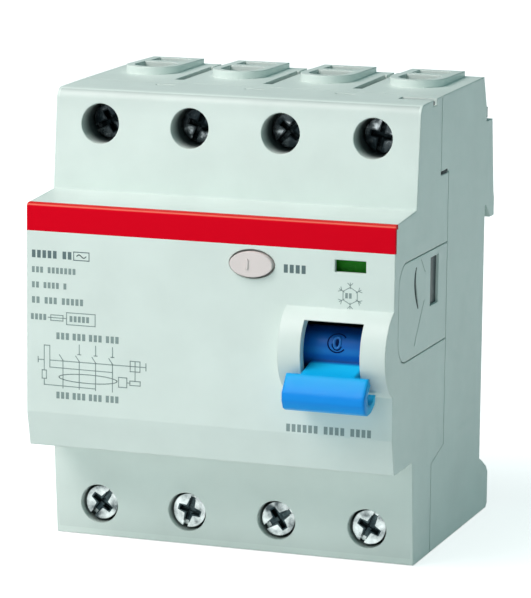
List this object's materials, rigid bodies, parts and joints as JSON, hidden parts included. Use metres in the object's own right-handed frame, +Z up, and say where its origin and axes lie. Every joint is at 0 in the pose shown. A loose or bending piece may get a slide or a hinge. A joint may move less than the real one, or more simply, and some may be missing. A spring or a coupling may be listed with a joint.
{
  "type": "residual current circuit breaker",
  "caption": "Rail-mounted residual current device with a rocker toggle, a push-to-test button, an indicator window and screw clamp terminals on both ends.",
  "frame": {"origin": "middle of the rail seat: midway across the width, on the rail's front plane, level with the rail's centre line", "axes": "+Z up, +Y towards the rail and wall, the operating face looks along -Y, +X to the right seen from the front"},
  "size_m": [0.07, 0.0726, 0.086],
  "materials": {
    "housing_plastic": "moulded, fine satin",
    "band_red": "smooth",
    "window_clear": "clear",
    "flag_green": "printed green and red zones",
    "toggle_blue": "satin",
    "steel": "plain",
    "zinc_steel": "zinc plated",
    "screw_steel": "nickel plated",
    "copper": "bare copper",
    "inner_plastic": "moulded",
    "core_metal": "wound strip core",
    "button_plastic": "moulded, satin",
    "clip_plastic": "moulded",
    "resistor_body": "lacquered"
  },
  "bodies": {
    "housing": {"front_cover": "housing_plastic", "rear_base": "housing_plastic", "colour_band": "band_red", "side_flap": "housing_plastic", "indicator_window": "window_clear", "toggle_axle": "steel", "toggle_spring": "steel", "upper_clamp_cages": "zinc_steel", "lower_clamp_cages": "zinc_steel", "fixed_contact_1": "copper", "fixed_contact_2": "copper", "fixed_contact_3": "copper", "fixed_contact_4": "copper", "load_conductor_1": "copper", "load_conductor_2": "copper", "load_conductor_3": "copper", "load_conductor_4": "copper", "sensing_core": "core_metal", "secondary_winding": "copper", "relay_case": "inner_plastic", "relay_coil": "copper", "test_spring": "steel", "test_blade": "steel", "test_resistor": "resistor_body", "upper_clip_spring": "steel", "lower_clip_spring": "steel"},
    "toggle": {"toggle": "toggle_blue"},
    "drive_link": {"drive_link": "steel"},
    "contact_carrier": {"contact_carrier": "inner_plastic", "contact_springs": "steel", "contact_arm_1": "copper", "contact_arm_2": "copper", "contact_arm_3": "copper", "contact_arm_4": "copper"},
    "indicator_flag": {"indicator_flag": "flag_green"},
    "relay_plunger": {"relay_plunger": "steel"},
    "trip_bar": {"trip_bar": "inner_plastic"},
    "test_button": {"test_button": "button_plastic"},
    "upper_clip": {"upper_clip": "clip_plastic"},
    "lower_clip": {"lower_clip": "clip_plastic"},
    "clamp_foot_upper_1": {"clamp_foot_upper_1": "zinc_steel"},
    "screw_upper_1": {"screw_upper_1": "screw_steel"},
    "clamp_foot_upper_2": {"clamp_foot_upper_2": "zinc_steel"},
    "screw_upper_2": {"screw_upper_2": "screw_steel"},
    "clamp_foot_upper_3": {"clamp_foot_upper_3": "zinc_steel"},
    "screw_upper_3": {"screw_upper_3": "screw_steel"},
    "clamp_foot_upper_4": {"clamp_foot_upper_4": "zinc_steel"},
    "screw_upper_4": {"screw_upper_4": "screw_steel"},
    "clamp_foot_lower_1": {"clamp_foot_lower_1": "zinc_steel"},
    "screw_lower_1": {"screw_lower_1": "screw_steel"},
    "clamp_foot_lower_2": {"clamp_foot_lower_2": "zinc_steel"},
    "screw_lower_2": {"screw_lower_2": "screw_steel"},
    "clamp_foot_lower_3": {"clamp_foot_lower_3": "zinc_steel"},
    "screw_lower_3": {"screw_lower_3": "screw_steel"},
    "clamp_foot_lower_4": {"clamp_foot_lower_4": "zinc_steel"},
    "screw_lower_4": {"screw_lower_4": "screw_steel"}
  },
  "joints": [
    {"name": "toggle_swing", "type": "hinge", "parent": "housing", "child": "toggle", "pos_m": [0.0248, -0.0541, -0.001], "axis": [-1, 0, 0], "range_deg": [0, 60]},
    {"name": "link_pivot", "type": "hinge", "parent": "toggle", "child": "drive_link", "pos_m": [0.0322, -0.0556, 0.0016], "axis": [-1, 0, 0], "range_deg": [-60, 0]},
    {"name": "carrier_turn", "type": "hinge", "parent": "housing", "child": "contact_carrier", "pos_m": [0, -0.0195, -0.003], "axis": [-1, 0, 0], "range_deg": [0, 20]},
    {"name": "flag_rise", "type": "slide", "parent": "housing", "child": "indicator_flag", "axis": [0, 0, 1], "range_m": [0, 0.0032]},
    {"name": "test_press", "type": "slide", "parent": "housing", "child": "test_button", "axis": [0, 1, 0], "range_m": [0, 0.0016], "stiffness_N_per_m": 400, "springref_m": -0.002, "deforming": ["test_spring"]},
    {"name": "plunger_lift", "type": "slide", "parent": "housing", "child": "relay_plunger", "axis": [0, 0, 1], "range_m": [0, 0.0015]},
    {"name": "trip_turn", "type": "hinge", "parent": "housing", "child": "trip_bar", "pos_m": [0, -0.05, -0.002], "axis": [1, 0, 0], "range_deg": [0, 22]},
    {"name": "upper_clip_slide", "type": "slide", "parent": "housing", "child": "upper_clip", "axis": [0, 0, 1], "range_m": [0, 0.004], "stiffness_N_per_m": 600, "springref_m": -0.003, "deforming": ["upper_clip_spring"]},
    {"name": "lower_clip_slide", "type": "slide", "parent": "housing", "child": "lower_clip", "axis": [0, 0, -1], "range_m": [0, 0.004], "stiffness_N_per_m": 600, "springref_m": -0.003, "deforming": ["lower_clip_spring"]},
    {"name": "clamp_slide_upper_1", "type": "slide", "parent": "housing", "child": "clamp_foot_upper_1", "axis": [0, 1, 0], "range_m": [-0.0037, 0.0037]},
    {"name": "screw_turn_upper_1", "type": "hinge", "parent": "clamp_foot_upper_1", "child": "screw_upper_1", "pos_m": [-0.02625, -0.03871, 0.0353], "axis": [0, 1, 0], "range_deg": [-1666, 1666]},
    {"name": "clamp_slide_upper_2", "type": "slide", "parent": "housing", "child": "clamp_foot_upper_2", "axis": [0, 1, 0], "range_m": [-0.0037, 0.0037]},
    {"name": "screw_turn_upper_2", "type": "hinge", "parent": "clamp_foot_upper_2", "child": "screw_upper_2", "pos_m": [-0.00875, -0.03871, 0.0353], "axis": [0, 1, 0], "range_deg": [-1666, 1666]},
    {"name": "clamp_slide_upper_3", "type": "slide", "parent": "housing", "child": "clamp_foot_upper_3", "axis": [0, 1, 0], "range_m": [-0.0037, 0.0037]},
    {"name": "screw_turn_upper_3", "type": "hinge", "parent": "clamp_foot_upper_3", "child": "screw_upper_3", "pos_m": [0.00875, -0.03871, 0.0353], "axis": [0, 1, 0], "range_deg": [-1666, 1666]},
    {"name": "clamp_slide_upper_4", "type": "slide", "parent": "housing", "child": "clamp_foot_upper_4", "axis": [0, 1, 0], "range_m": [-0.0037, 0.0037]},
    {"name": "screw_turn_upper_4", "type": "hinge", "parent": "clamp_foot_upper_4", "child": "screw_upper_4", "pos_m": [0.02625, -0.03871, 0.0353], "axis": [0, 1, 0], "range_deg": [-1666, 1666]},
    {"name": "clamp_slide_lower_1", "type": "slide", "parent": "housing", "child": "clamp_foot_lower_1", "axis": [0, 1, 0], "range_m": [0, 0.0074]},
    {"name": "screw_turn_lower_1", "type": "hinge", "parent": "clamp_foot_lower_1", "child": "screw_lower_1", "pos_m": [-0.02625, -0.04241, -0.0363], "axis": [0, 1, 0], "range_deg": [0, 3331]},
    {"name": "clamp_slide_lower_2", "type": "slide", "parent": "housing", "child": "clamp_foot_lower_2", "axis": [0, 1, 0], "range_m": [0, 0.0074]},
    {"name": "screw_turn_lower_2", "type": "hinge", "parent": "clamp_foot_lower_2", "child": "screw_lower_2", "pos_m": [-0.00875, -0.04241, -0.0363], "axis": [0, 1, 0], "range_deg": [0, 3331]},
    {"name": "clamp_slide_lower_3", "type": "slide", "parent": "housing", "child": "clamp_foot_lower_3", "axis": [0, 1, 0], "range_m": [0, 0.0074]},
    {"name": "screw_turn_lower_3", "type": "hinge", "parent": "clamp_foot_lower_3", "child": "screw_lower_3", "pos_m": [0.00875, -0.04241, -0.0363], "axis": [0, 1, 0], "range_deg": [0, 3331]},
    {"name": "clamp_slide_lower_4", "type": "slide", "parent": "housing", "child": "clamp_foot_lower_4", "axis": [0, 1, 0], "range_m": [0, 0.0074]},
    {"name": "screw_turn_lower_4", "type": "hinge", "parent": "clamp_foot_lower_4", "child": "screw_lower_4", "pos_m": [0.02625, -0.04241, -0.0363], "axis": [0, 1, 0], "range_deg": [0, 3331]}
  ],
  "couplings": [
    {"joint": "link_pivot", "follows": "toggle_swing", "ratio": -1},
    {"joint": "carrier_turn", "follows": "toggle_swing", "ratio": 0.33333},
    {"joint": "flag_rise", "follows": "toggle_swing", "m_per_rad": 0.00305},
    {"joint": "trip_turn", "follows": "plunger_lift", "rad_per_m": 250},
    {"joint": "screw_turn_upper_1", "follows": "clamp_slide_upper_1", "rad_per_m": 7854},
    {"joint": "screw_turn_upper_2", "follows": "clamp_slide_upper_2", "rad_per_m": 7854},
    {"joint": "screw_turn_upper_3", "follows": "clamp_slide_upper_3", "rad_per_m": 7854},
    {"joint": "screw_turn_upper_4", "follows": "clamp_slide_upper_4", "rad_per_m": 7854},
    {"joint": "screw_turn_lower_1", "follows": "clamp_slide_lower_1", "rad_per_m": 7854},
    {"joint": "screw_turn_lower_2", "follows": "clamp_slide_lower_2", "rad_per_m": 7854},
    {"joint": "screw_turn_lower_3", "follows": "clamp_slide_lower_3", "rad_per_m": 7854},
    {"joint": "screw_turn_lower_4", "follows": "clamp_slide_lower_4", "rad_per_m": 7854}
  ]
}
